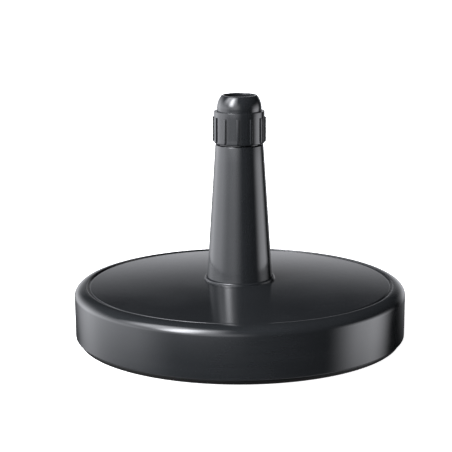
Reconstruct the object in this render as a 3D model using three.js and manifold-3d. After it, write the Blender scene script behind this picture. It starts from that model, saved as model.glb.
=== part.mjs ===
// Round garden parasol base: a concrete-filled plastic shell with a tapered stem and a screw clamp for the pole.
// Units are millimetres, +Z is up, and the origin is the centre of the footprint on the floor.
import * as THREE from 'three';
import { mergeVertices } from 'three/addons/utils/BufferGeometryUtils.js';
import Module from 'manifold-3d';

const wasm = await Module();
wasm.setup();

// ---------- driving dimensions ----------
const GAP = 0.3; // left between any two pieces that touch
const WALL = 3; // moulded wall of the shell, tray and socket
const FACETS = { shell: 40, stem: 32, clamp: 32, socket: 24, small: 10, pad: 14 };

const BASE_R = 210; // widest radius of the shell, at its shoulder
const TOTAL_H = 312.3; // top of the collet

const LIP = { r: 209.4, z: 9.2, round: 1.4 }; // lower edge of the shell
const TRAY = { bottom: 1.5, edgeR: 204, wallR: 205.6, wallTop: 14 }; // the feet stand 1.5 proud of it
const DRAINS = { count: 4, ringR: 12, r: 3, phase: 45 }; // holes in the tray, inside the socket's skirt
const LEDGE = { r: 206.2, bottom: 5.5, top: 7.3 }; // fine line round the tray, under the shell's lip
const SHOULDER = { z: 60, rx: 14.8, rz: 11.9 }; // rounded edge between side wall and rim
const RIM_Z = SHOULDER.z + SHOULDER.rz;
const GROOVE = { inner: 190.3, outer: 194.3, depth: 1.5 }; // ring groove between disc and rim
const DISC = { centreZ: 78.1, edgeZ: 71.2 }; // crowned disc that sheds water
const BEAD = { r: 43.1, half: 1.4, topZ: 80.9 }; // bead round the foot of the stem
const SLEEVE = { outer: 45.5, bottom: 70 }; // short sleeve under the bead that centres the stem

const STEM = { topR: 30.3, topZ: 250.7, taper: 0.065, rootZ: 5, wall: 4.2 }; // radius grows by taper per mm down
const NECK = { r: 26.6, topZ: 281 }; // threaded neck above the cone
const MOUTH = { topR: 23.6, bottomR: 21.6, bottomZ: 249 }; // cone inside the neck that squeezes the collet
const FLANGE = { r: 65, bottom: 62.5, top: 65.8 }; // ring on the stem, screwed up under the shell

const POLE_R = 19.2; // bore of the collet, for a pole of up to 38 mm
const SOCKET = { bore: 19.6, tube: 22, bottom: 4.8, floor: 23.5, funnelZ: 146, topZ: 157, drain: 5 };

const THREAD = { pitch: 5, depth: 1.4, half: 1.1, tipHalf: 0.65, startZ: 256.5, neckTurns: 4, nutTurns: 2 };
const THREAD_STEPS = 20; // straight steps in a turn of thread
const NUT = { r: 31.75, flare: 0.25, bottom: 252.7, top: 292.7, bore: 28.7 };
const NUT_LIP = { r: 28.35, z: 291 }; // inward lip that captures the collet from above
const NUT_SHELF = { r: 27.4, bottom: 284.9, top: 286.6 }; // inward shelf that lifts the collet
const RIBS = { count: 12, phase: -94, r: 33.4, width: 2.8, depth: 3, bottom: 253.9, top: 285.4 }; // grip ribs
const COLLET = { flangeR: 29, flangeTop: 290.7, fingerTop: 23.2, fingerBottom: 21.7, bottom: 258.5 };
const DOME = { r: 28.1, z: 296, height: 26.5, rimAngle: 36.1, rimR: 22.7, foot: 27.9 }; // half an ellipse
const SLITS = { count: 8, width: 1.6, top: 283 }; // between the collet's fingers

const FEET = { count: 6, ringR: 172, r: 13, height: 2.8, recess: 13.4, recessTop: 3.1 };
const CHANNEL = { inner: 192.2, outer: 202, underside: 4.5, top: 7.5 }; // hides the screws under the tray
const SCREW = { headR: 4.1, headH: 2.3, shankR: 2, length: 11, hole: 2.4, pilot: 2.3 };
const TRAY_SCREWS = { count: 6, ringR: 197, phase: 30, headZ: 1.9, lugR: 5.5, lugTop: 34 };
const WEB = { from: 198, depth: 9, width: 6, bottom: 15 }; // joins each lug to the side wall
const STEM_SCREWS = { count: 4, ringR: 57, phase: 45, headZ: 59.9, bossR: 4.5 };

const BALLAST = { bottom: 4.8, rimR: 203.2, rimStep: 14.6 };

// ---------- materials ----------
const plastic = (color, roughness) => new THREE.MeshStandardMaterial({ color, roughness, metalness: 0 });
const MATERIALS = {
  anthracite: plastic(0x33363b, 0.36),
  black: plastic(0x0d0e10, 0.5),
  inner: plastic(0x24262a, 0.5),
  rubber: plastic(0x121212, 0.85),
  concrete: plastic(0x8f8d88, 0.95),
  steel: new THREE.MeshStandardMaterial({ color: 0xb4b7ba, roughness: 0.35, metalness: 1 }),
};

// ---------- geometry helpers ----------
const radians = THREE.MathUtils.degToRad;

// Points [r, z] along an elliptical arc; the angles are in degrees, 0 pointing outwards and 90 up.
function arc(r, z, rx, rz, from, to, steps) {
  const points = [];
  for (let i = 0; i <= steps; i += 1) {
    const a = radians(from + ((to - from) * i) / steps);
    points.push([r + rx * Math.cos(a), z + rz * Math.sin(a)]);
  }
  return points;
}

// A profile of [r, z] points turned about Z. It runs anticlockwise with r to the right, and closes on itself
// unless it starts and ends on the axis.
function turned(profile, facets) {
  const outline = profile[0][0] === 0 ? profile : [...profile, profile[0]];
  const points = outline.map(([r, z]) => new THREE.Vector2(r, z));
  return new THREE.LatheGeometry(points, facets).rotateX(Math.PI / 2);
}

// A cylinder standing on z = bottom, at (x, y).
function post(radius, bottom, top, x = 0, y = 0, facets = FACETS.small) {
  const geometry = new THREE.CylinderGeometry(radius, radius, top - bottom, facets);
  return geometry.rotateX(Math.PI / 2).translate(x, y, (top + bottom) / 2);
}

// A manifold-3d solid of a closed geometry, and a geometry of a solid.
function solid(geometry) {
  const bare = geometry.clone();
  bare.deleteAttribute('normal');
  bare.deleteAttribute('uv');
  const merged = mergeVertices(bare, 1e-3);
  const triVerts = new Uint32Array(merged.index.array);
  const vertProperties = new Float32Array(merged.attributes.position.array);
  return new wasm.Manifold(new wasm.Mesh({ numProp: 3, vertProperties, triVerts }));
}

function geometryOf(manifold) {
  const mesh = manifold.getMesh();
  const geometry = new THREE.BufferGeometry();
  geometry.setAttribute('position', new THREE.BufferAttribute(mesh.vertProperties, 3));
  geometry.setIndex(new THREE.BufferAttribute(mesh.triVerts, 1));
  const faceted = geometry.toNonIndexed();
  faceted.computeVertexNormals();
  return faceted;
}

// A body with some geometries joined on and others cut away.
function shaped(body, added, removed) {
  let result = solid(body);
  for (const geometry of added) result = result.add(solid(geometry));
  for (const geometry of removed) result = result.subtract(solid(geometry));
  return geometryOf(result);
}

// The places of count items on a circle: [{ x, y, angle }], the phase in degrees anticlockwise from +X.
function around(count, radius, phase = 0) {
  return Array.from({ length: count }, (_, i) => {
    const angle = radians(phase + (360 * i) / count);
    return { x: radius * Math.cos(angle), y: radius * Math.sin(angle), angle };
  });
}

// A helical ridge: a straight bar with a trapezoidal section, bent round the axis. direction is 1 for an
// outside thread and -1 for an inside one; root is the radius where the ridge grows from.
function thread(root, direction, startZ, turns) {
  const buried = 0.5;
  const section = new THREE.Shape([
    new THREE.Vector2(-buried, -THREAD.half),
    new THREE.Vector2(THREAD.depth, -THREAD.tipHalf),
    new THREE.Vector2(THREAD.depth, THREAD.tipHalf),
    new THREE.Vector2(-buried, THREAD.half),
  ]);
  const steps = turns * THREAD_STEPS;
  const bar = new THREE.ExtrudeGeometry(section, { depth: turns, steps, bevelEnabled: false });
  const position = bar.attributes.position;
  for (let i = 0; i < position.count; i += 1) {
    const radius = root + direction * position.getX(i);
    const angle = 2 * Math.PI * position.getZ(i);
    const z = startZ + position.getY(i) + THREAD.pitch * position.getZ(i);
    position.setXYZ(i, radius * Math.cos(angle), radius * Math.sin(angle), z);
  }
  if (direction > 0) flip(bar);
  return bar;
}

// Turns every face of a non-indexed geometry round.
function flip(geometry) {
  const { array } = geometry.attributes.position;
  for (let i = 0; i < array.length; i += 9) {
    for (let k = 0; k < 3; k += 1) [array[i + 3 + k], array[i + 6 + k]] = [array[i + 6 + k], array[i + 3 + k]];
  }
}

// ---------- shared outlines ----------
const discZ = (r) => DISC.centreZ - (DISC.centreZ - DISC.edgeZ) * (r / GROOVE.inner) ** 2;
const stemR = (z) => STEM.topR + STEM.taper * (STEM.topZ - z);

// Points on the crowned disc, from radius a to radius b, lowered by drop.
function discLine(a, b, drop, steps = 3) {
  return Array.from({ length: steps + 1 }, (_, i) => {
    const r = a + ((b - a) * i) / steps;
    return [r, discZ(r) - drop];
  });
}

// ---------- the base: shell, tray, ballast, stem, socket ----------
function topShell() {
  const sleeveBore = (z) => stemR(z) + 0.4;
  const outside = [
    [LIP.r - LIP.round, LIP.z],
    ...arc(LIP.r - LIP.round, LIP.z + LIP.round, LIP.round, LIP.round, -60, 0, 2),
    ...arc(BASE_R - SHOULDER.rx, SHOULDER.z, SHOULDER.rx, SHOULDER.rz, 0, 90, 5),
    [GROOVE.outer, RIM_Z - 0.2],
    [GROOVE.outer - 1, DISC.edgeZ - GROOVE.depth],
    [GROOVE.inner + 1, DISC.edgeZ - GROOVE.depth],
    ...discLine(GROOVE.inner, BEAD.r + BEAD.half + 0.4, 0),
    ...arc(BEAD.r, BEAD.topZ - BEAD.half, BEAD.half, BEAD.half, 0, 180, 3),
  ];
  const inside = [
    [sleeveBore(SLEEVE.bottom), SLEEVE.bottom],
    [SLEEVE.outer, SLEEVE.bottom],
    ...discLine(SLEEVE.outer, GROOVE.inner + 1, WALL + 0.4),
    ...arc(BASE_R - SHOULDER.rx, SHOULDER.z - 0.5, SHOULDER.rx - WALL, SHOULDER.rz - WALL, 80, 0, 3),
    [LIP.r - WALL, LIP.z],
  ];
  const lugs = [];
  const pilots = [];
  for (const { x, y, angle } of around(TRAY_SCREWS.count, TRAY_SCREWS.ringR, TRAY_SCREWS.phase)) {
    lugs.push(post(TRAY_SCREWS.lugR, CHANNEL.top + GAP, TRAY_SCREWS.lugTop, x, y));
    const web = new THREE.BoxGeometry(WEB.depth, WEB.width, TRAY_SCREWS.lugTop - WEB.bottom);
    web.translate(WEB.from + WEB.depth / 2, 0, (TRAY_SCREWS.lugTop + WEB.bottom) / 2);
    lugs.push(web.rotateZ(angle));
    pilots.push(post(SCREW.pilot, CHANNEL.top - 1, TRAY_SCREWS.headZ + SCREW.headH + SCREW.length + 2, x, y));
  }
  for (const { x, y } of around(STEM_SCREWS.count, STEM_SCREWS.ringR, STEM_SCREWS.phase)) {
    lugs.push(post(STEM_SCREWS.bossR, FLANGE.top + GAP, discZ(STEM_SCREWS.ringR) - 1.5, x, y));
    pilots.push(post(SCREW.pilot, FLANGE.top - 1, STEM_SCREWS.headZ + SCREW.headH + SCREW.length + 0.5, x, y));
  }
  return shaped(turned([...outside, ...inside], FACETS.shell), lugs, pilots);
}

function bottomTray() {
  const draft = 1.7; // slope of the channel's inner side
  const wall = 2; // the upstanding wall is thinner than the floor
  const profile = [
    [0, TRAY.bottom],
    [CHANNEL.inner - draft, TRAY.bottom],
    [CHANNEL.inner, CHANNEL.underside],
    [CHANNEL.outer, CHANNEL.underside],
    [CHANNEL.outer + 0.5, TRAY.bottom],
    [TRAY.edgeR, TRAY.bottom],
    [TRAY.edgeR + 0.6, TRAY.bottom + 0.6],
    [TRAY.wallR - 0.3, LEDGE.bottom - 0.3],
    [LEDGE.r, LEDGE.bottom],
    [LEDGE.r, LEDGE.top],
    [TRAY.wallR, LEDGE.top + 0.3],
    [TRAY.wallR, TRAY.wallTop],
    [TRAY.wallR - wall, TRAY.wallTop],
    [TRAY.wallR - wall, CHANNEL.top],
    [CHANNEL.inner - 2.2, CHANNEL.top],
    [CHANNEL.inner - 2.2 - draft, TRAY.bottom + WALL],
    [0, TRAY.bottom + WALL],
  ];
  const cuts = [
    ...around(FEET.count, FEET.ringR).map(({ x, y }) => post(FEET.recess, 0, FEET.recessTop, x, y, FACETS.pad)),
    ...around(TRAY_SCREWS.count, TRAY_SCREWS.ringR, TRAY_SCREWS.phase).map(({ x, y }) => (
      post(SCREW.hole, 0, CHANNEL.top + 1, x, y))),
    ...around(DRAINS.count, DRAINS.ringR, DRAINS.phase).map(({ x, y }) => post(DRAINS.r, 0, CHANNEL.top, x, y)),
  ];
  return shaped(turned(profile, FACETS.shell), [], cuts);
}

// The concrete is cast in the shell, round the stem's root and flange, the bosses and the lugs.
function ballast() {
  const innerR = (z) => stemR(z) + GAP + 0.1;
  const profile = [
    [innerR(BALLAST.bottom), BALLAST.bottom],
    [CHANNEL.inner - 4.5, BALLAST.bottom],
    [CHANNEL.inner - 2.2, CHANNEL.top + GAP],
    [BALLAST.rimR, CHANNEL.top + GAP],
    [BALLAST.rimR, BALLAST.rimStep],
    [LIP.r - WALL - GAP, BALLAST.rimStep],
    ...arc(BASE_R - SHOULDER.rx, SHOULDER.z - 0.5, SHOULDER.rx - WALL - GAP, SHOULDER.rz - WALL - GAP, 0, 80, 3),
    ...discLine(GROOVE.inner + 1, SLEEVE.outer + 0.4, WALL + 0.4 + GAP),
    [SLEEVE.outer + 0.4, SLEEVE.bottom - GAP],
    [innerR(SLEEVE.bottom), SLEEVE.bottom - GAP],
    [innerR(FLANGE.top), FLANGE.top + GAP],
    [FLANGE.r + GAP, FLANGE.top + GAP],
    [FLANGE.r + GAP, FLANGE.bottom - GAP],
    [innerR(FLANGE.bottom), FLANGE.bottom - GAP],
  ];
  const cuts = [];
  for (const { x, y, angle } of around(TRAY_SCREWS.count, TRAY_SCREWS.ringR, TRAY_SCREWS.phase)) {
    cuts.push(post(TRAY_SCREWS.lugR + GAP, 0, TRAY_SCREWS.lugTop + GAP, x, y));
    const top = TRAY_SCREWS.lugTop + GAP;
    const web = new THREE.BoxGeometry(BASE_R - TRAY_SCREWS.ringR, WEB.width + 2 * GAP, top);
    cuts.push(web.translate((BASE_R + TRAY_SCREWS.ringR) / 2, 0, top / 2).rotateZ(angle));
  }
  for (const { x, y } of around(STEM_SCREWS.count, STEM_SCREWS.ringR, STEM_SCREWS.phase)) {
    cuts.push(post(STEM_SCREWS.bossR + GAP, FLANGE.bottom, DISC.centreZ, x, y));
    cuts.push(post(SCREW.headR + GAP, STEM_SCREWS.headZ - GAP, FLANGE.top, x, y));
  }
  return shaped(turned(profile, FACETS.shell), [], cuts);
}

function stem() {
  const innerR = (z) => stemR(z) - STEM.wall;
  const funnelRingZ = MOUTH.bottomZ - 8;
  const profile = [
    [stemR(STEM.rootZ), STEM.rootZ],
    [stemR(FLANGE.bottom), FLANGE.bottom],
    [FLANGE.r, FLANGE.bottom],
    [FLANGE.r, FLANGE.top],
    [stemR(FLANGE.top), FLANGE.top],
    [stemR(STEM.topZ - 0.8), STEM.topZ - 0.8],
    [STEM.topR - 0.8, STEM.topZ],
    [NECK.r, STEM.topZ],
    [NECK.r, NECK.topZ - 0.8],
    [NECK.r - 0.8, NECK.topZ],
    [MOUTH.topR, NECK.topZ],
    [MOUTH.bottomR, MOUTH.bottomZ],
    [innerR(funnelRingZ), funnelRingZ],
    [innerR(STEM.rootZ), STEM.rootZ],
  ];
  const holes = around(STEM_SCREWS.count, STEM_SCREWS.ringR, STEM_SCREWS.phase).map(({ x, y }) => (
    post(SCREW.hole, FLANGE.bottom - 1, FLANGE.top + 1, x, y)));
  const ridge = thread(NECK.r, 1, THREAD.startZ, THREAD.neckTurns);
  return shaped(turned(profile, FACETS.stem), [ridge], holes);
}

// Cup inside the stem that the pole stands in, with a funnel at its mouth and a drain hole in its floor.
// It stands on the tray by a skirt, and a foot round that centres it in the stem.
function poleSocket() {
  const guideR = stemR(SOCKET.topZ) - STEM.wall - GAP - 0.1;
  const footR = stemR(STEM.rootZ) - STEM.wall - GAP - 0.3;
  return turned([
    [SOCKET.bore, SOCKET.bottom],
    [footR, SOCKET.bottom],
    [footR, SOCKET.bottom + WALL],
    [SOCKET.tube, SOCKET.bottom + WALL + 1],
    [SOCKET.tube, SOCKET.funnelZ],
    [guideR, SOCKET.topZ - WALL],
    [guideR, SOCKET.topZ],
    [guideR - 1.6, SOCKET.topZ],
    [SOCKET.bore, SOCKET.funnelZ + 2],
    [SOCKET.bore, SOCKET.floor + 0.6],
    [SOCKET.bore - 0.6, SOCKET.floor],
    [SOCKET.drain, SOCKET.floor],
    [SOCKET.drain, SOCKET.floor - WALL],
    [SOCKET.bore, SOCKET.floor - WALL],
  ], FACETS.socket);
}

// ---------- the clamp: collet and nut ----------
function clampCollet() {
  const profile = [
    [POLE_R, COLLET.bottom],
    [COLLET.fingerBottom, COLLET.bottom],
    [COLLET.fingerTop, NUT_SHELF.top + GAP - 1],
    [COLLET.fingerTop, NUT_SHELF.top + GAP],
    [COLLET.flangeR, NUT_SHELF.top + GAP],
    [COLLET.flangeR, COLLET.flangeTop],
    [DOME.foot, COLLET.flangeTop],
    [DOME.foot, DOME.z - 2],
    ...arc(0, DOME.z, DOME.r, DOME.height, 1, DOME.rimAngle, 5),
    [DOME.rimR - 1, TOTAL_H],
    [POLE_R + 1, TOTAL_H],
    [POLE_R, TOTAL_H - 1],
  ];
  const slits = [];
  for (let i = 0; i < SLITS.count / 2; i += 1) {
    const height = SLITS.top - COLLET.bottom + 5;
    const slit = new THREE.BoxGeometry(3 * COLLET.flangeR, SLITS.width, height);
    slits.push(slit.translate(0, 0, SLITS.top - height / 2).rotateZ((Math.PI * 2 * i) / SLITS.count));
  }
  return shaped(turned(profile, FACETS.clamp), [], slits);
}

function clampNut() {
  const profile = [
    [NUT.bore + 0.7, NUT.bottom],
    [NUT.r - 1.4, NUT.bottom],
    ...arc(NUT.r + NUT.flare - 1.2, NUT.bottom + 1.2, 1.2, 1.2, -45, 0, 1),
    [NUT.r, NUT.top - 0.9],
    [NUT.r - 0.6, NUT.top],
    [NUT_LIP.r + 0.5, NUT.top],
    [NUT_LIP.r, NUT.top - 0.5],
    [NUT_LIP.r, NUT_LIP.z],
    [COLLET.flangeR + 0.5, NUT_LIP.z],
    [COLLET.flangeR + 0.5, NUT_SHELF.top],
    [NUT_SHELF.r, NUT_SHELF.top],
    [NUT_SHELF.r, NUT_SHELF.bottom],
    [NUT.bore, NUT_SHELF.bottom],
    [NUT.bore, NUT.bottom + 1],
  ];
  const ribs = around(RIBS.count, RIBS.r, RIBS.phase).map(({ angle }) => {
    const rib = new THREE.BoxGeometry(RIBS.depth, RIBS.width, RIBS.top - RIBS.bottom);
    return rib.translate(RIBS.r - RIBS.depth / 2, 0, (RIBS.top + RIBS.bottom) / 2).rotateZ(angle);
  });
  const ridge = thread(NUT.bore, -1, THREAD.startZ + THREAD.pitch / 2, THREAD.nutTurns);
  return shaped(turned(profile, FACETS.clamp), [...ribs, ridge], []);
}

// ---------- small parts ----------
// Pan-head screw pointing up, standing on its head.
function screw() {
  const profile = [
    [0, 0],
    [SCREW.headR - 0.9, 0],
    [SCREW.headR, 0.9],
    [SCREW.headR, SCREW.headH],
    [SCREW.shankR, SCREW.headH],
    [SCREW.shankR, SCREW.headH + SCREW.length - 1.5],
    [0, SCREW.headH + SCREW.length],
  ];
  return turned(profile, FACETS.small);
}

// Round anti-slip pad, its lower edge rounded off.
function footPad() {
  const profile = [
    [0, 0],
    [FEET.r - 0.8, 0],
    [FEET.r, 0.8],
    [FEET.r, FEET.height],
    [0, FEET.height],
  ];
  return turned(profile, FACETS.pad);
}

// ---------- assembly ----------
function part(name, geometry, material, place = { x: 0, y: 0, z: 0 }) {
  const mesh = new THREE.Mesh(geometry, material);
  mesh.name = name;
  mesh.position.set(place.x, place.y, place.z);
  return mesh;
}

const base = new THREE.Group();
base.add(
  part('top_shell', topShell(), MATERIALS.anthracite),
  part('bottom_tray', bottomTray(), MATERIALS.black),
  part('concrete_ballast', ballast(), MATERIALS.concrete),
  part('stem', stem(), MATERIALS.anthracite),
  part('pole_socket', poleSocket(), MATERIALS.inner),
);
around(FEET.count, FEET.ringR).forEach(({ x, y }, i) => {
  base.add(part(`foot_pad_${i + 1}`, footPad(), MATERIALS.rubber, { x, y, z: 0 }));
});
around(TRAY_SCREWS.count, TRAY_SCREWS.ringR, TRAY_SCREWS.phase).forEach(({ x, y }, i) => {
  base.add(part(`tray_screw_${i + 1}`, screw(), MATERIALS.steel, { x, y, z: TRAY_SCREWS.headZ }));
});
around(STEM_SCREWS.count, STEM_SCREWS.ringR, STEM_SCREWS.phase).forEach(({ x, y }, i) => {
  base.add(part(`stem_screw_${i + 1}`, screw(), MATERIALS.steel, { x, y, z: STEM_SCREWS.headZ }));
});

const clamp = new THREE.Group();
clamp.add(
  part('clamp_collet', clampCollet(), MATERIALS.anthracite),
  part('clamp_nut', clampNut(), MATERIALS.anthracite),
);

const parasolBase = new THREE.Group();
parasolBase.add(base, clamp);

export default parasolBase;
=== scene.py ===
# Round garden parasol base: a concrete-filled plastic shell, a tapered stem and a screw clamp for the pole.
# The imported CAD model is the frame. Every piece here is a finer mesh that stands for one of its nodes.
import math

import bmesh
import bpy
from mathutils import Matrix, Vector


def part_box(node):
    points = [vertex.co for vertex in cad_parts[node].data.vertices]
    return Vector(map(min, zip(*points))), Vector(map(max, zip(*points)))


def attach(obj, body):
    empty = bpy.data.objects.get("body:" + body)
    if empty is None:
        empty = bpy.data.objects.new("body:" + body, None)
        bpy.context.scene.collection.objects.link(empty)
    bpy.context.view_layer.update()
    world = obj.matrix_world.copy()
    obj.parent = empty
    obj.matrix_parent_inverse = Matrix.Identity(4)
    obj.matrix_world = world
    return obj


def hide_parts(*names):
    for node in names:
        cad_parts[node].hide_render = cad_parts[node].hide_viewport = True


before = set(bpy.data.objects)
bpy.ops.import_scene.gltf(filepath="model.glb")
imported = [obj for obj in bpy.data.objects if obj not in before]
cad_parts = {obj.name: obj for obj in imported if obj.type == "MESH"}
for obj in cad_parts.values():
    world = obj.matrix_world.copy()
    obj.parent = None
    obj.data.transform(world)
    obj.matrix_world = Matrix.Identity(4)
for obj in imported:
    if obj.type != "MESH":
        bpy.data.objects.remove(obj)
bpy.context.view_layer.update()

MM = 0.001  # shapes are worked out in millimetres, and each mesh is turned into metres when it is made
SEGMENTS = {"shell": 320, "stem": 192, "clamp": 240, "socket": 96, "pad": 64, "screw": 40}
SHARP = math.radians(38)  # edges that fold more than this are drawn crisp


def box_mm(node):
    low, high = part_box(node)
    return low / MM, high / MM


# ---------- sizes, from the frame where its boxes give them ----------
shell_low, shell_high = box_mm("top_shell")
tray_low, tray_high = box_mm("bottom_tray")
fill_low, fill_high = box_mm("concrete_ballast")
stem_low, stem_high = box_mm("stem")
cup_low, cup_high = box_mm("pole_socket")
collet_low, collet_high = box_mm("clamp_collet")
nut_low, nut_high = box_mm("clamp_nut")

WALL = 3
GAP = 0.3
BASE_R = shell_high.x
LIP = {"inset": 0.6, "round": 1.4}
SHOULDER = {"z": 60, "rx": 14.8, "rz": 11.9}
RIM_Z = SHOULDER["z"] + SHOULDER["rz"]
GROOVE = {"inner": 190.3, "outer": 194.3, "depth": 1.5}
DISC = {"centre": 78.1, "edge": 71.2}
BEAD = {"r": 43.1, "half": 1.4}
SLEEVE = {"outer": 45.5, "bottom": 70}
STEM = {"top_r": 30.3, "top": 250.7, "taper": 0.065, "wall": 4.2}
NECK_R = 26.6
MOUTH = {"top_r": 23.6, "bottom_r": 21.6, "bottom": 249}
FLANGE = {"r": stem_high.x, "bottom": 62.5, "top": 65.8}
POLE_R = 19.2
CUP = {"bore": 19.6, "tube": 22, "floor": 23.5, "funnel": 146, "drain": 5}
THREAD = {"pitch": 5, "depth": 1.4, "half": 1.1, "tip_half": 0.65, "start": 256.5}
NUT = {"r": 31.75, "flare": 0.25, "bore": 28.7, "lip_r": 28.35, "lip": 291, "shelf_r": 27.4, "shelf": 284.9}
RIBS = {"count": 12, "phase": -94, "r": 33.4, "width": 2.8, "bottom": 253.9, "top": 285.4}
RIB_ROUNDS = {"edge": 0.5, "foot": 1.5}
COLLET = {"flange": 290.7, "shelf": 286.9, "finger_r": 23.2, "toe_r": 21.7}
DOME = {"r": 28.1, "z": 296, "height": 26.5, "rim_angle": 36.1, "foot": 27.9}
SLITS = {"count": 8, "width": 1.6, "top": 283}
CHANNEL = {"inner": 192.2, "outer": 202, "underside": 4.5, "top": 7.5}
LEDGE = {"bottom": 5.5, "top": 7.3}
TRAY = {"edge": 204, "wall": 205.6}
DRAINS = {"count": 4, "ring": 12, "r": 3, "phase": 45}
FEET = {"count": 6, "ring": 172, "recess": 13.4, "recess_top": 3.1}
SCREW = {"head_r": 4.1, "head": 2.3, "shank_r": 2, "length": 11, "hole": 2.4}
TRAY_SCREWS = {"count": 6, "ring": 197, "phase": 30, "lug_r": 5.5, "lug_top": 34}
STEM_SCREWS = {"count": 4, "ring": 57, "phase": 45, "boss_r": 4.5}
WEB = {"start": 198, "depth": 9, "width": 6, "bottom": 15}
PILOT_TOPS = {"tray": 17.2, "stem": 73.7}  # how far up the screws' pilot holes reach
BALLAST = {"rim_r": 203.2, "rim_step": 14.6, "screw_room": 59.6}
STIFFENERS = {"radii": (186, 150, 60), "half": 2, "floor_half": 1.2, "depth": 0.8}  # grooves under the tray


# ---------- camera ----------
# Its place in metres, how far it looks down and rolls in degrees, and its lens in millimetres.
CAMERA = {"place": (-0.0172, -1.9137, 0.5549), "down": 12.07, "roll": -0.25, "lens": 123.2}


def add_camera():
    data = bpy.data.cameras.new("camera")
    data.sensor_width = 36
    data.lens = CAMERA["lens"]
    data.clip_end = 50
    camera = bpy.data.objects.new("camera", data)
    bpy.context.scene.collection.objects.link(camera)
    camera.location = CAMERA["place"]
    pitch = Matrix.Rotation(math.radians(90 - CAMERA["down"]), 3, "X")
    roll = Matrix.Rotation(math.radians(CAMERA["roll"]), 3, "Z")
    camera.rotation_euler = (pitch @ roll).to_euler()
    bpy.context.scene.camera = camera


# ---------- materials ----------
class Nodes:
    """A short way to write a shader's node tree."""

    def __init__(self, tree):
        self.tree = tree
        tree.nodes.clear()

    def add(self, kind, inputs=(), **settings):
        node = self.tree.nodes.new(kind)
        for key, value in settings.items():
            setattr(node, key, value)
        for key, value in dict(inputs).items():
            if isinstance(value, bpy.types.NodeSocket):
                self.tree.links.new(value, node.inputs[key])
            else:
                node.inputs[key].default_value = value
        return node

    def math(self, operation, a, b=0.0, clamp=False):
        return self.add("ShaderNodeMath", {0: a, 1: b}, operation=operation, use_clamp=clamp).outputs[0]

    def ramp(self, value, low, high, out_low=0.0, out_high=1.0):
        inputs = {"Value": value, "From Min": low, "From Max": high, "To Min": out_low, "To Max": out_high}
        return self.add("ShaderNodeMapRange", inputs, interpolation_type="SMOOTHSTEP").outputs[0]

    def mix(self, factor, a, b):
        inputs = {"Factor": factor, "A": a, "B": b}
        node = self.add("ShaderNodeMix", data_type="RGBA")
        for name, value in inputs.items():
            socket = next(s for s in node.inputs if s.name == name and s.enabled)
            if isinstance(value, bpy.types.NodeSocket):
                self.tree.links.new(value, socket)
            else:
                socket.default_value = value
        return next(s for s in node.outputs if s.enabled)

    def place(self, scale=(1, 1, 1)):
        """Object coordinates in millimetres, stretched by scale."""
        where = self.add("ShaderNodeTexCoord").outputs["Object"]
        scaled = [s / MM for s in scale]
        return self.add("ShaderNodeMapping", {"Vector": where, "Scale": scaled}).outputs[0]

    def noise(self, where, size, detail=3.0, roughness=0.5, distortion=0.0):
        """Noise whose features are about size millimetres wide, from 0 to 1."""
        inputs = {"Vector": where, "Scale": 1 / size, "Detail": detail, "Roughness": roughness}
        inputs["Distortion"] = distortion
        return self.add("ShaderNodeTexNoise", inputs).outputs["Fac"]


def new_material(name):
    material = bpy.data.materials.new(name)
    material.use_nodes = True
    return material, Nodes(material.node_tree)


def finish_material(nodes, inputs, height=None, bump=0.1, distance=0.1):
    """A Principled surface with these inputs, and height in millimetres of relief if it is given."""
    if height is not None:
        relief = {"Height": height, "Strength": bump, "Distance": distance * MM}
        inputs["Normal"] = nodes.add("ShaderNodeBump", relief).outputs[0]
    shader = nodes.add("ShaderNodeBsdfPrincipled", inputs)
    nodes.add("ShaderNodeOutputMaterial", {"Surface": shader.outputs[0]})


def anthracite(name, streaks, gloss):
    """Moulded plastic. Streaks stretches its flow marks, and gloss is its range of roughness before them."""
    material, nodes = new_material(name)
    where = nodes.place()
    drawn = nodes.place(streaks)
    cloud = nodes.noise(where, 60, 4)
    streak = nodes.noise(drawn, 30, 5, 0.6)
    grain = nodes.noise(where, 0.35, 2)
    fleck = nodes.ramp(nodes.noise(where, 0.8, 1), 0.7, 0.78)
    blend = nodes.math("MULTIPLY", cloud, streak)
    colour = nodes.mix(blend, (0.0105, 0.0115, 0.0125, 1), (0.019, 0.0205, 0.022, 1))
    speckled = nodes.mix(nodes.math("MULTIPLY", fleck, 0.35), colour, (0.045, 0.048, 0.053, 1))
    marks = nodes.ramp(streak, 0.35, 0.65, -0.01, 0.02)
    rough = nodes.math("ADD", nodes.ramp(cloud, 0.3, 0.7, *gloss), marks)
    height = nodes.math("ADD", grain, nodes.math("MULTIPLY", streak, 0.6))
    finish_material(nodes, {"Base Color": speckled, "Roughness": rough, "IOR": 1.5}, height, 0.05, 0.01)
    return material


def black_plastic():
    """The tray's and the socket's plain black plastic, with a fine matt grain.

    Its specular level is below real plastic's, in place of the shade that a tray has close to a floor.
    """
    material, nodes = new_material("black_plastic")
    where = nodes.place()
    grain = nodes.noise(where, 0.6, 3)
    cloud = nodes.noise(where, 35, 4)
    colour = nodes.mix(cloud, (0.003, 0.003, 0.003, 1), (0.007, 0.007, 0.007, 1))
    rough = nodes.ramp(cloud, 0.3, 0.7, 0.38, 0.5)
    shine = {"Base Color": colour, "Roughness": rough, "Specular IOR Level": 0.2}
    finish_material(nodes, shine, grain, 0.3, 0.05)
    return material


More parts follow.
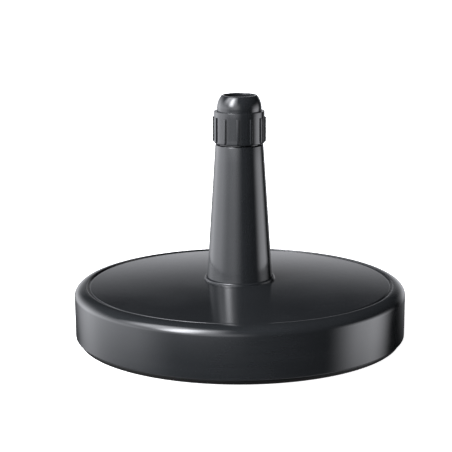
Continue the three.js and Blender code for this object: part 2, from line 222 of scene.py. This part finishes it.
def concrete():
    material, nodes = new_material("concrete")
    where = nodes.place()
    sand = nodes.noise(where, 1.6, 4, 0.7)
    patch = nodes.noise(where, 40, 5, 0.6)
    pores = nodes.ramp(nodes.noise(where, 3.2, 2), 0.28, 0.36)
    colour = nodes.mix(patch, (0.21, 0.205, 0.19, 1), (0.36, 0.35, 0.33, 1))
    gritty = nodes.mix(nodes.math("MULTIPLY", sand, 0.45), colour, (0.14, 0.135, 0.125, 1))
    # The pores are painted darker, as painted shade in the pits that the bump sinks below the surface.
    pore_shaded = nodes.mix(pores, (0.09, 0.088, 0.08, 1), gritty)
    height = nodes.math("ADD", sand, nodes.math("MULTIPLY", pores, 2.0))
    finish_material(nodes, {"Base Color": pore_shaded, "Roughness": 0.93}, height, 0.7, 0.5)
    return material


def foot_rubber():
    material, nodes = new_material("foot_rubber")
    where = nodes.place()
    grain = nodes.noise(where, 0.5, 2)
    dust = nodes.ramp(nodes.noise(where, 9, 4), 0.45, 0.75)
    colour = nodes.mix(dust, (0.010, 0.010, 0.010, 1), (0.035, 0.033, 0.030, 1))
    rough = nodes.ramp(dust, 0, 1, 0.75, 0.92)
    finish_material(nodes, {"Base Color": colour, "Roughness": rough}, grain, 0.4, 0.08)
    return material


def screw_steel():
    """Bright zinc with the faint turned rings of a cold-headed screw."""
    material, nodes = new_material("screw_steel")
    where = nodes.place()
    drawn = nodes.place((1, 1, 12))
    cloud = nodes.noise(where, 2.5, 3)
    rings = nodes.noise(drawn, 3, 3)
    colour = nodes.mix(cloud, (0.50, 0.51, 0.53, 1), (0.66, 0.67, 0.68, 1))
    rough = nodes.ramp(rings, 0.3, 0.7, 0.24, 0.4)
    finish_material(nodes, {"Base Color": colour, "Metallic": 1.0, "Roughness": rough}, rings, 0.15, 0.03)
    return material


# ---------- outlines, as (r, z) points that run anticlockwise with r to the right ----------
def arc(r, z, rx, rz, start, end, steps):
    """Points on an ellipse round (r, z). Angles are in degrees, 0 outwards and 90 up."""
    angles = [math.radians(start + (end - start) * i / steps) for i in range(steps + 1)]
    return [(r + rx * math.cos(a), z + rz * math.sin(a)) for a in angles]


def rounded(corners, steps=5):
    """A closed outline. A corner is (r, z) or (r, z, fillet), and a fillet is turned into an arc."""
    points = []
    for i, corner in enumerate(corners):
        here = Vector(corner[:2])
        if len(corner) < 3:
            points.append(here)
            continue
        to_last = (Vector(corners[i - 1][:2]) - here).normalized()
        to_next = (Vector(corners[(i + 1) % len(corners)][:2]) - here).normalized()
        half = to_last.angle(to_next) / 2
        centre = here + (to_last + to_next).normalized() * corner[2] / math.sin(half)
        start = here + to_last * corner[2] / math.tan(half) - centre
        end = here + to_next * corner[2] / math.tan(half) - centre
        sweep = start.angle_signed(end)
        for k in range(steps + 1):
            points.append(centre + Matrix.Rotation(-sweep * k / steps, 2) @ start)
    return points


def disc_z(r):
    return DISC["centre"] - (DISC["centre"] - DISC["edge"]) * (r / GROOVE["inner"]) ** 2


def stem_r(z):
    return STEM["top_r"] + STEM["taper"] * (STEM["top"] - z)


def disc_line(start, end, drop, steps):
    radii = [start + (end - start) * i / steps for i in range(steps + 1)]
    return [(r, disc_z(r) - drop) for r in radii]


# ---------- meshes ----------
def new_object(bm, name):
    """An object of a bmesh in millimetres, which is freed."""
    bmesh.ops.recalc_face_normals(bm, faces=bm.faces)
    bm.transform(Matrix.Scale(MM, 4))
    mesh = bpy.data.meshes.new(name)
    bm.to_mesh(mesh)
    bm.free()
    thing = bpy.data.objects.new(name, mesh)
    bpy.context.scene.collection.objects.link(thing)
    return thing


def close_grid(bm, rings, around_too=True):
    """Faces between neighbouring rings of vertices. A ring of one vertex is a point on the axis."""
    pairs = list(zip(rings, rings[1:])) + ([(rings[-1], rings[0])] if around_too else [])
    for a, b in pairs:
        count = max(len(a), len(b))
        for i in range(count):
            j = (i + 1) % count
            corners = [a[i % len(a)], a[j % len(a)], b[j % len(b)], b[i % len(b)]]
            distinct = list(dict.fromkeys(corners))
            if len(distinct) > 2:
                bm.faces.new(distinct)


def turned(outline, segments):
    """A bmesh of an outline turned about Z."""
    bm = bmesh.new()
    rings = []
    for r, z in outline:
        if r < 1e-6:
            rings.append([bm.verts.new((0, 0, z))])
            continue
        ring = []
        for i in range(segments):
            angle = 2 * math.pi * i / segments
            ring.append(bm.verts.new((r * math.cos(angle), r * math.sin(angle), z)))
        rings.append(ring)
    close_grid(bm, rings, around_too=len(rings[0]) > 1 or len(rings[-1]) > 1)
    return bm


def post(radius, bottom, top, x=0, y=0, segments=32):
    bm = turned([(0, bottom), (radius, bottom), (radius, top), (0, top)], segments)
    bmesh.ops.translate(bm, vec=(x, y, 0), verts=bm.verts)
    return bm


def block(low, high, angle=0):
    """A box from corner to corner, then turned about Z by an angle in radians."""
    bm = bmesh.new()
    bmesh.ops.create_cube(bm, size=1)
    size = Vector(high) - Vector(low)
    middle = (Vector(high) + Vector(low)) / 2
    turn = Matrix.Rotation(angle, 4, "Z")
    bm.transform(turn @ Matrix.Translation(middle) @ Matrix.Diagonal((*size, 1)))
    return bm


def thread(root, direction, start, turns, buried=0.5, steps=48):
    """A helical ridge that fades in and out over an eighth of a turn. Direction is 1 for an outer thread."""
    bm = bmesh.new()
    total = turns * steps
    fade = steps / 8
    half, tip = THREAD["half"], THREAD["tip_half"]
    flank = [(0, half), (0.8, tip + 0.08), (1, tip - 0.15)]
    section = [(up, -along) for up, along in flank] + flank[::-1]
    rings = []
    for i in range(total + 1):
        angle = 2 * math.pi * i / steps
        share = min(1, i / fade, (total - i) / fade)
        height = THREAD["depth"] * share * share * (3 - 2 * share)
        ring = []
        for up, along in section:
            reach = root + direction * (height * up if up else -buried)
            lift = start + THREAD["pitch"] * i / steps + along * (0.3 + 0.7 * share)
            ring.append(bm.verts.new((reach * math.cos(angle), reach * math.sin(angle), lift)))
        rings.append(ring)
    close_grid(bm, rings, around_too=False)
    bm.faces.new(rings[0])
    bm.faces.new(rings[-1])
    return bm


def combine(body, tools, operation):
    """Joins or cuts a body with some bmeshes, which are used up."""
    if not tools:
        return body
    for i, bm in enumerate(tools):
        tool = new_object(bm, f"tool_{i}")
        modifier = body.modifiers.new(f"combine_{i}", "BOOLEAN")
        modifier.operation = operation
        modifier.solver = "MANIFOLD"
        modifier.object = tool
    ready = body.evaluated_get(bpy.context.evaluated_depsgraph_get())
    mesh = bpy.data.meshes.new_from_object(ready)
    cutters = [modifier.object for modifier in body.modifiers]
    body.modifiers.clear()
    body.data = mesh
    for tool in cutters:
        bpy.data.objects.remove(tool)
    return body


def finished(thing, node, body, material):
    """Gives a piece its shading and material, and its place in the CAD model."""
    mesh = thing.data
    mesh.name = thing.name
    mesh.materials.clear()
    mesh.materials.append(material)
    mesh.shade_smooth()
    mesh.set_sharp_from_angle(angle=SHARP)
    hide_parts(node)
    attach(thing, body)
    return thing


def around(count, radius, phase=0):
    """(x, y, angle) of count places on a circle, the phase in degrees anticlockwise from +X."""
    angles = [math.radians(phase + 360 * i / count) for i in range(count)]
    return [(radius * math.cos(a), radius * math.sin(a), a) for a in angles]


# ---------- the base ----------
def make_shell(material):
    lip_r, lip_z = BASE_R - LIP["inset"], shell_low.z
    bead_z = shell_high.z - BEAD["half"]
    bead_foot = BEAD["r"] + BEAD["half"]
    sleeve_r = stem_r(SLEEVE["bottom"]) + 0.4
    outside = [
        (lip_r - WALL, lip_z, 0.4),
        (lip_r, lip_z, LIP["round"]),
        *arc(BASE_R - SHOULDER["rx"], SHOULDER["z"], SHOULDER["rx"], SHOULDER["rz"], 0, 86, 27),
        (GROOVE["outer"], RIM_Z, 0.5),
        (GROOVE["outer"] - 0.3, DISC["edge"] - GROOVE["depth"], 0.4),
        (GROOVE["inner"] + 0.6, DISC["edge"] - GROOVE["depth"], 0.3),
        (GROOVE["inner"], DISC["edge"], 1.1),
        *disc_line(GROOVE["inner"] - 2.5, bead_foot + 1.2, 0, 30),
        (bead_foot, disc_z(bead_foot), 0.4),
        *arc(BEAD["r"], bead_z, BEAD["half"], BEAD["half"], 0, 180, 14),
    ]
    inner_rx, inner_rz = SHOULDER["rx"] - WALL, SHOULDER["rz"] - WALL
    inside = [
        (sleeve_r, SLEEVE["bottom"], 0.3),
        (SLEEVE["outer"], SLEEVE["bottom"], 0.5),
        *disc_line(SLEEVE["outer"], GROOVE["inner"] + 1, WALL + 0.4, 12),
        *arc(BASE_R - SHOULDER["rx"], SHOULDER["z"] - 0.5, inner_rx, inner_rz, 80, 0, 12),
    ]
    shell = new_object(turned(rounded(outside + inside), SEGMENTS["shell"]), "shell_moulding")
    lugs, pilots = [], []
    for x, y, angle in around(TRAY_SCREWS["count"], TRAY_SCREWS["ring"], TRAY_SCREWS["phase"]):
        lugs.append(post(TRAY_SCREWS["lug_r"], CHANNEL["top"] + GAP, TRAY_SCREWS["lug_top"], x, y))
        low = (WEB["start"], -WEB["width"] / 2, WEB["bottom"])
        high = (WEB["start"] + WEB["depth"], WEB["width"] / 2, TRAY_SCREWS["lug_top"])
        lugs.append(block(low, high, angle))
        pilots.append(post(SCREW["shank_r"] + GAP, CHANNEL["top"] - 1, PILOT_TOPS["tray"], x, y))
    for x, y, _ in around(STEM_SCREWS["count"], STEM_SCREWS["ring"], STEM_SCREWS["phase"]):
        top = disc_z(STEM_SCREWS["ring"]) - 1.5
        lugs.append(post(STEM_SCREWS["boss_r"], FLANGE["top"] + GAP, top, x, y))
        pilots.append(post(SCREW["shank_r"] + GAP, FLANGE["top"] - 1, PILOT_TOPS["stem"], x, y))
    combine(shell, lugs, "UNION")
    combine(shell, pilots, "DIFFERENCE")
    return finished(shell, "top_shell", "base", material)


def make_tray(material):
    bottom, top = tray_low.z, tray_high.z
    wall_r, inner_r = TRAY["wall"], TRAY["wall"] - 2
    ring_grooves = []
    half, floor_half = STIFFENERS["half"], STIFFENERS["floor_half"]
    ceiling = bottom + STIFFENERS["depth"]
    for r in STIFFENERS["radii"]:
        ring_grooves = [
            (r - half, bottom, 0.3),
            (r - floor_half, ceiling, 0.3),
            (r + floor_half, ceiling, 0.3),
            (r + half, bottom, 0.3),
        ] + ring_grooves
    outline = [
        (0, bottom),
        *ring_grooves,
        (CHANNEL["inner"] - 1.7, bottom, 0.4),
        (CHANNEL["inner"], CHANNEL["underside"], 0.4),
        (CHANNEL["outer"], CHANNEL["underside"], 0.4),
        (CHANNEL["outer"] + 0.5, bottom, 0.4),
        (TRAY["edge"], bottom, 0.9),
        (wall_r - 0.3, LEDGE["bottom"] - 0.3, 0.3),
        (tray_high.x, LEDGE["bottom"], 0.4),
        (tray_high.x, LEDGE["top"], 0.4),
        (wall_r, LEDGE["top"] + 0.3, 0.2),
        (wall_r, top, 0.4),
        (inner_r, top, 0.4),
        (inner_r, CHANNEL["top"], 0.4),
        (CHANNEL["inner"] - 2.2, CHANNEL["top"], 0.4),
        (CHANNEL["inner"] - 3.9, bottom + WALL, 0.4),
        (0, bottom + WALL),
    ]
    tray = new_object(turned(rounded(outline, 4), SEGMENTS["shell"]), "tray_moulding")
    places = around(FEET["count"], FEET["ring"])
    cuts = [post(FEET["recess"], 0, FEET["recess_top"], x, y, 48) for x, y, _ in places]
    for x, y, _ in around(TRAY_SCREWS["count"], TRAY_SCREWS["ring"], TRAY_SCREWS["phase"]):
        cuts.append(post(SCREW["hole"], 0, CHANNEL["top"] + 1, x, y))
    for x, y, _ in around(DRAINS["count"], DRAINS["ring"], DRAINS["phase"]):
        cuts.append(post(DRAINS["r"], 0, CHANNEL["top"], x, y))
    combine(tray, cuts, "DIFFERENCE")
    return finished(tray, "bottom_tray", "base", material)


def make_fill(material):
    """The concrete, cast in the shell round the stem's root and flange, the bosses and the lugs."""

    def inner(z):
        return stem_r(z) + GAP + 0.1

    bottom = fill_low.z
    inner_rx, inner_rz = SHOULDER["rx"] - WALL - GAP, SHOULDER["rz"] - WALL - GAP
    outline = [
        (inner(bottom), bottom, 0.8),
        (CHANNEL["inner"] - 4.5, bottom, 0.8),
        (CHANNEL["inner"] - 2.2, CHANNEL["top"] + GAP, 0.8),
        (BALLAST["rim_r"], CHANNEL["top"] + GAP, 0.8),
        (BALLAST["rim_r"], BALLAST["rim_step"], 0.8),
        (BASE_R - LIP["inset"] - WALL - GAP, BALLAST["rim_step"], 0.8),
        *arc(BASE_R - SHOULDER["rx"], SHOULDER["z"] - 0.5, inner_rx, inner_rz, 0, 80, 12),
        *disc_line(GROOVE["inner"] + 1, SLEEVE["outer"] + 0.4, WALL + 0.4 + GAP, 12),
        (SLEEVE["outer"] + 0.4, SLEEVE["bottom"] - GAP),
        (inner(SLEEVE["bottom"]), SLEEVE["bottom"] - GAP),
        (inner(FLANGE["top"]), FLANGE["top"] + GAP),
        (FLANGE["r"] + GAP, FLANGE["top"] + GAP),
        (FLANGE["r"] + GAP, FLANGE["bottom"] - GAP),
        (inner(FLANGE["bottom"]), FLANGE["bottom"] - GAP),
    ]
    fill = new_object(turned(rounded(outline, 3), 160), "concrete_fill")
    cuts = []
    lug_top = TRAY_SCREWS["lug_top"] + GAP
    for x, y, angle in around(TRAY_SCREWS["count"], TRAY_SCREWS["ring"], TRAY_SCREWS["phase"]):
        cuts.append(post(TRAY_SCREWS["lug_r"] + GAP, 0, lug_top, x, y))
        half = WEB["width"] / 2 + GAP
        cuts.append(block((TRAY_SCREWS["ring"], -half, 0), (BASE_R, half, lug_top), angle))
    for x, y, _ in around(STEM_SCREWS["count"], STEM_SCREWS["ring"], STEM_SCREWS["phase"]):
        cuts.append(post(STEM_SCREWS["boss_r"] + GAP, FLANGE["bottom"], DISC["centre"], x, y))
        cuts.append(post(SCREW["head_r"] + GAP, BALLAST["screw_room"], FLANGE["top"], x, y))
    combine(fill, cuts, "DIFFERENCE")
    return finished(fill, "concrete_ballast", "base", material)


def make_stem(material):
    def inner(z):
        return stem_r(z) - STEM["wall"]

    root, top = stem_low.z, STEM["top"]
    ring_z = MOUTH["bottom"] - 8
    outline = [
        (stem_r(root), root, 0.5),
        (stem_r(FLANGE["bottom"]), FLANGE["bottom"], 0.8),
        (FLANGE["r"], FLANGE["bottom"], 0.6),
        (FLANGE["r"], FLANGE["top"], 0.6),
        (stem_r(FLANGE["top"]), FLANGE["top"], 0.8),
        *[(stem_r(z), z) for z in range(90, 250, 20)],
        (STEM["top_r"], top, 1.0),
        (NECK_R, top, 0.5),
        (NECK_R, stem_high.z, 0.9),
        (MOUTH["top_r"], stem_high.z, 0.5),
        (MOUTH["bottom_r"], MOUTH["bottom"], 0.8),
        (inner(ring_z), ring_z, 1.0),
        (inner(root), root, 0.5),
    ]
    stem = new_object(turned(rounded(outline), SEGMENTS["stem"]), "stem_tube")
    combine(stem, [thread(NECK_R, 1, THREAD["start"], 4)], "UNION")
    places = around(STEM_SCREWS["count"], STEM_SCREWS["ring"], STEM_SCREWS["phase"])
    combine(stem, [post(SCREW["hole"], FLANGE["bottom"] - 1, FLANGE["top"] + 1, x, y) for x, y, _ in places],
            "DIFFERENCE")
    return finished(stem, "stem", "base", material)


def make_socket(material):
    bottom, top = cup_low.z, cup_high.z
    guide_r, foot_r = stem_r(top) - STEM["wall"] - GAP - 0.1, cup_high.x
    outline = [
        (CUP["bore"], bottom, 0.4),
        (foot_r, bottom, 0.6),
        (foot_r, bottom + WALL, 0.6),
        (CUP["tube"], bottom + WALL + 1, 1.5),
        (CUP["tube"], CUP["funnel"], 3),
        (guide_r, top - WALL, 0.8),
        (guide_r, top, 0.5),
        (guide_r - 1.6, top, 0.5),
        (CUP["bore"], CUP["funnel"] + 2, 3),
        (CUP["bore"], CUP["floor"], 0.6),
        (CUP["drain"], CUP["floor"], 0.5),
        (CUP["drain"], CUP["floor"] - WALL, 0.5),
        (CUP["bore"], CUP["floor"] - WALL, 0.5),
    ]
    cup = new_object(turned(rounded(outline), SEGMENTS["socket"]), "socket_cup")
    return finished(cup, "pole_socket", "base", material)


# ---------- the clamp ----------
def make_collet(material):
    bottom, top = collet_low.z, collet_high.z
    rim_r = DOME["r"] * math.cos(math.radians(DOME["rim_angle"]))
    outline = [
        (POLE_R, bottom, 0.4),
        (COLLET["toe_r"], bottom, 0.7),
        (COLLET["finger_r"], COLLET["shelf"], 0.6),
        (collet_high.x, COLLET["shelf"], 0.4),
        (collet_high.x, COLLET["flange"], 0.4),
        (DOME["foot"], COLLET["flange"], 0.3),
        (DOME["foot"], DOME["z"] - 1.5),
        *arc(0, DOME["z"], DOME["r"], DOME["height"], 2, DOME["rim_angle"] - 1, 28),
        (rim_r, DOME["z"] + DOME["height"] * math.sin(math.radians(DOME["rim_angle"])), 0.25),
        (rim_r - 0.9, top, 0.3),
        (POLE_R + 0.9, top, 0.3),
        (POLE_R, top - 1.1, 0.6),
    ]
    collet = new_object(turned(rounded(outline), SEGMENTS["clamp"]), "collet_head")
    slits = []
    for i in range(SLITS["count"] // 2):
        reach, half = 1.5 * collet_high.x, SLITS["width"] / 2
        angle = 2 * math.pi * i / SLITS["count"]
        slits.append(block((-reach, -half, bottom - 5), (reach, half, SLITS["top"]), angle))
    combine(collet, slits, "DIFFERENCE")
    return finished(collet, "clamp_collet", "collet", material)


def make_nut(material):
    bottom, top = nut_low.z, nut_high.z
    wall = NUT["r"]
    bore_edge = NUT["bore"] + 0.7
    outline = rounded([
        (bore_edge, bottom),
        (wall - 1.2, bottom),
        *arc(wall + NUT["flare"] - 1.2, bottom + 1.2, 1.2, 1.2, -80, 0, 6),
        (wall, RIBS["bottom"] + 3),
        *[(wall, z) for z in (260, 266, 272, 278, RIBS["top"] - 2, RIBS["top"] + 1)],
        (wall, top, 0.5),
        (NUT["lip_r"], top, 0.5),
        (NUT["lip_r"], NUT["lip"], 0.3),
        (collet_high.x + 0.5, NUT["lip"], 0.3),
        (collet_high.x + 0.5, NUT["shelf"] + 1.7, 0.3),
        (NUT["shelf_r"], NUT["shelf"] + 1.7, 0.4),
        (NUT["shelf_r"], NUT["shelf"], 0.4),
        (NUT["bore"], NUT["shelf"], 0.4),
        (NUT["bore"], bottom + 1),
    ])
    nut = new_object(turned(outline, SEGMENTS["clamp"]), "nut_ring")
    combine(nut, [rib(angle) for _, _, angle in around(RIBS["count"], RIBS["r"], RIBS["phase"])], "UNION")
    combine(nut, [thread(NUT["bore"], -1, THREAD["start"] + THREAD["pitch"] / 2, 2)], "UNION")
    return finished(nut, "clamp_nut", "nut", material)


def rib(angle):
    """One grip rib: a bar with small rounds on its edges and a rounder foot, partly inside the nut's wall."""
    half, buried = RIBS["width"] / 2, NUT["r"] - 1.4
    bm = block((buried, -half, RIBS["bottom"]), (RIBS["r"], half, RIBS["top"]))
    outer = {v for v in bm.verts if v.co.x > NUT["r"]}
    foot = [e for e in bm.edges if all(v in outer and v.co.z < RIBS["bottom"] + 1 for v in e.verts)]
    bmesh.ops.bevel(bm, geom=foot, offset=RIB_ROUNDS["foot"], segments=6, profile=0.5, affect="EDGES")
    edges = [e for e in bm.edges if len(e.link_faces) == 2 and e.calc_face_angle() > 1
             and min(v.co.x for v in e.verts) > buried + 0.1]
    bmesh.ops.bevel(bm, geom=edges, offset=RIB_ROUNDS["edge"], segments=4, profile=0.5, affect="EDGES")
    bm.transform(Matrix.Rotation(angle, 4, "Z"))
    return bm


# ---------- small parts ----------
def screw_mesh(material):
    """Pan-head screw standing on its head, with a cross recess and a cut thread."""
    head_r, head, shank_r = SCREW["head_r"], SCREW["head"], SCREW["shank_r"]
    core = shank_r - 0.55
    tip = head + SCREW["length"]
    outline = [
        (0, 0),
        (head_r, 0, 1.1),
        (head_r, head, 0.25),
        (core, head, 0.3),
        (core, tip - 2.2, 0.3),
        (0, tip),
    ]
    fastener = new_object(turned(rounded(outline), SEGMENTS["screw"]), "screw_form")
    ridge = bmesh.new()
    pitch, steps, turns = 1.4, 20, 6
    rings = []
    for i in range(turns * steps + 1):
        angle = 2 * math.pi * i / steps
        share = min(1, i / 8, (turns * steps - i) / 16)
        crest = core + (shank_r - core) * share
        lift = head + 0.9 + pitch * i / steps
        ring = []
        for r, z in ((core - 0.3, -0.35), (crest, -0.06), (crest, 0.06), (core - 0.3, 0.35)):
            ring.append(ridge.verts.new((r * math.cos(angle), r * math.sin(angle), lift + z)))
        rings.append(ring)
    close_grid(ridge, rings, around_too=False)
    ridge.faces.new(rings[0])
    ridge.faces.new(rings[-1])
    combine(fastener, [ridge], "UNION")
    arms = [block((-2.1, -0.45, -0.5), (2.1, 0.45, 1.4), turn) for turn in (0, math.pi / 2)]
    combine(fastener, arms, "DIFFERENCE")
    mesh = fastener.data
    bpy.data.objects.remove(fastener)
    return mesh


def make_screws(kind, pattern, mesh, material):
    head_z = box_mm(f"{kind}_screw_1")[0].z
    for i, (x, y, _) in enumerate(around(pattern["count"], pattern["ring"], pattern["phase"])):
        copy = mesh.copy()
        copy.transform(Matrix.Translation(Vector((x, y, head_z)) * MM))
        thing = bpy.data.objects.new(f"{kind}_fixing_{i + 1}", copy)
        bpy.context.scene.collection.objects.link(thing)
        finished(thing, f"{kind}_screw_{i + 1}", "base", material)


def make_pads(material):
    """Round anti-slip pads with three ring grooves in the sole."""
    for i, (x, y, _) in enumerate(around(FEET["count"], FEET["ring"])):
        low, high = box_mm(f"foot_pad_{i + 1}")
        r, height = (high.y - low.y) / 2, high.z - low.z
        outline = [(0, 0)]
        for groove in (3.5, 6.5, 9.5):
            outline += [(groove - 0.7, 0, 0.15), (groove - 0.4, 0.6, 0.15), (groove + 0.4, 0.6, 0.15),
                        (groove + 0.7, 0, 0.15)]
        outline += [(13, 0, 0.8), (13, height, 0.3), (0, height)]
        bm = turned(rounded(outline, 4), SEGMENTS["pad"])
        bmesh.ops.translate(bm, vec=(x, y, low.z), verts=bm.verts)
        finished(new_object(bm, f"pad_{i + 1}"), f"foot_pad_{i + 1}", "base", material)


# ---------- studio ----------
# Soft panels far round the object. Each is an azimuth and an elevation, then its half width, its half
# height and how softly its edges fade, all in degrees, and its strength. Azimuth 0 is the viewer's side.
# The side panels reach below the horizon, because upright walls seen from above mirror what is under it.
PANELS = {
    "key": (-55, 45, 35, 20, 15, 8),
    "key_core": (-45, 35, 10, 20, 10, 18),
    "left": (-100, 0, 40, 15, 20, 3.5),
    "right": (95, -10, 20, 15, 15, 3.5),
    "front": (-30, 10, 25, 15, 20, 3),
    "back": (180, 0, 35, 10, 10, 1),
    "floor_glow": (0, -55, 180, 15, 10, 0.5),
}
DAYLIGHT = (1.0, 1.01, 1.06)  # the panels' slightly cool colour


def add_floor():
    """A white floor that the camera sees but that adds no shadow or reflection of its own."""
    bm = bmesh.new()
    bmesh.ops.create_grid(bm, x_segments=1, y_segments=1, size=8000)
    floor = new_object(bm, "floor")
    material, nodes = new_material("floor_white")
    shine = {"Base Color": (0.85, 0.85, 0.85, 1), "Roughness": 1.0}
    shine |= {"Emission Color": (1, 1, 1, 1), "Emission Strength": 1.0}
    finish_material(nodes, shine)
    floor.data.materials.append(material)
    floor.visible_glossy = False
    floor.visible_diffuse = False
    floor.visible_shadow = False


def add_world():
    """Studio panels for the light and the reflections, and plain white for the camera."""
    world = bpy.data.worlds.new("studio")
    world.use_nodes = True
    bpy.context.scene.world = world
    nodes = Nodes(world.node_tree)
    ray = nodes.add("ShaderNodeTexCoord").outputs["Generated"]
    level = nodes.add("ShaderNodeVectorMath", {0: ray, 1: (1, 1, 0)}, operation="MULTIPLY").outputs[0]
    level = nodes.add("ShaderNodeVectorMath", {0: level}, operation="NORMALIZE").outputs[0]
    height = nodes.add("ShaderNodeSeparateXYZ", {0: ray}).outputs["Z"]
    elevation = nodes.math("ARCSINE", height)
    total = (0, 0, 0)
    for azimuth, middle, half_width, half_height, fade, strength in PANELS.values():
        turn = math.radians(azimuth)
        towards = (math.sin(turn), -math.cos(turn), 0)
        facing = nodes.add("ShaderNodeVectorMath", {0: level, 1: towards}, operation="DOT_PRODUCT")
        aside = nodes.math("ARCCOSINE", facing.outputs["Value"])
        above = nodes.math("ABSOLUTE", nodes.math("SUBTRACT", elevation, math.radians(middle)))
        masks = []
        for away, half in ((aside, half_width), (above, half_height)):
            edges = [math.radians(max(half - fade, 0)), math.radians(half + fade)]
            masks.append(nodes.ramp(away, *edges, 1.0, 0.0))
        mask = nodes.math("MULTIPLY", *masks)
        shades = {0: mask, 1: [strength * shade for shade in DAYLIGHT], 2: total}
        total = nodes.add("ShaderNodeVectorMath", shades, operation="MULTIPLY_ADD").outputs[0]
    studio = nodes.add("ShaderNodeBackground", {"Color": total})
    backdrop = nodes.add("ShaderNodeBackground", {"Color": (1, 1, 1, 1)})
    seen = nodes.add("ShaderNodeLightPath").outputs["Is Camera Ray"]
    either = nodes.add("ShaderNodeMixShader", {0: seen, 1: studio.outputs[0], 2: backdrop.outputs[0]})
    nodes.add("ShaderNodeOutputWorld", {"Surface": either.outputs[0]})


# ---------- assembly ----------
add_camera()
shell_plastic = anthracite("shell_plastic", (0.15, 0.15, 3), (0.115, 0.14))
stem_plastic = anthracite("stem_plastic", (3, 3, 0.12), (0.115, 0.14))
collet_plastic = anthracite("collet_plastic", (3, 3, 0.3), (0.075, 0.1))
black = black_plastic()
steel = screw_steel()

make_shell(shell_plastic)
make_tray(black)
make_fill(concrete())
make_stem(stem_plastic)
make_socket(black)
make_collet(collet_plastic)
make_nut(stem_plastic)
make_pads(foot_rubber())
screw = screw_mesh(steel)
make_screws("tray", TRAY_SCREWS, screw, steel)
make_screws("stem", STEM_SCREWS, screw, steel)

add_floor()
add_world()
bpy.context.scene.view_settings.view_transform = "Standard"
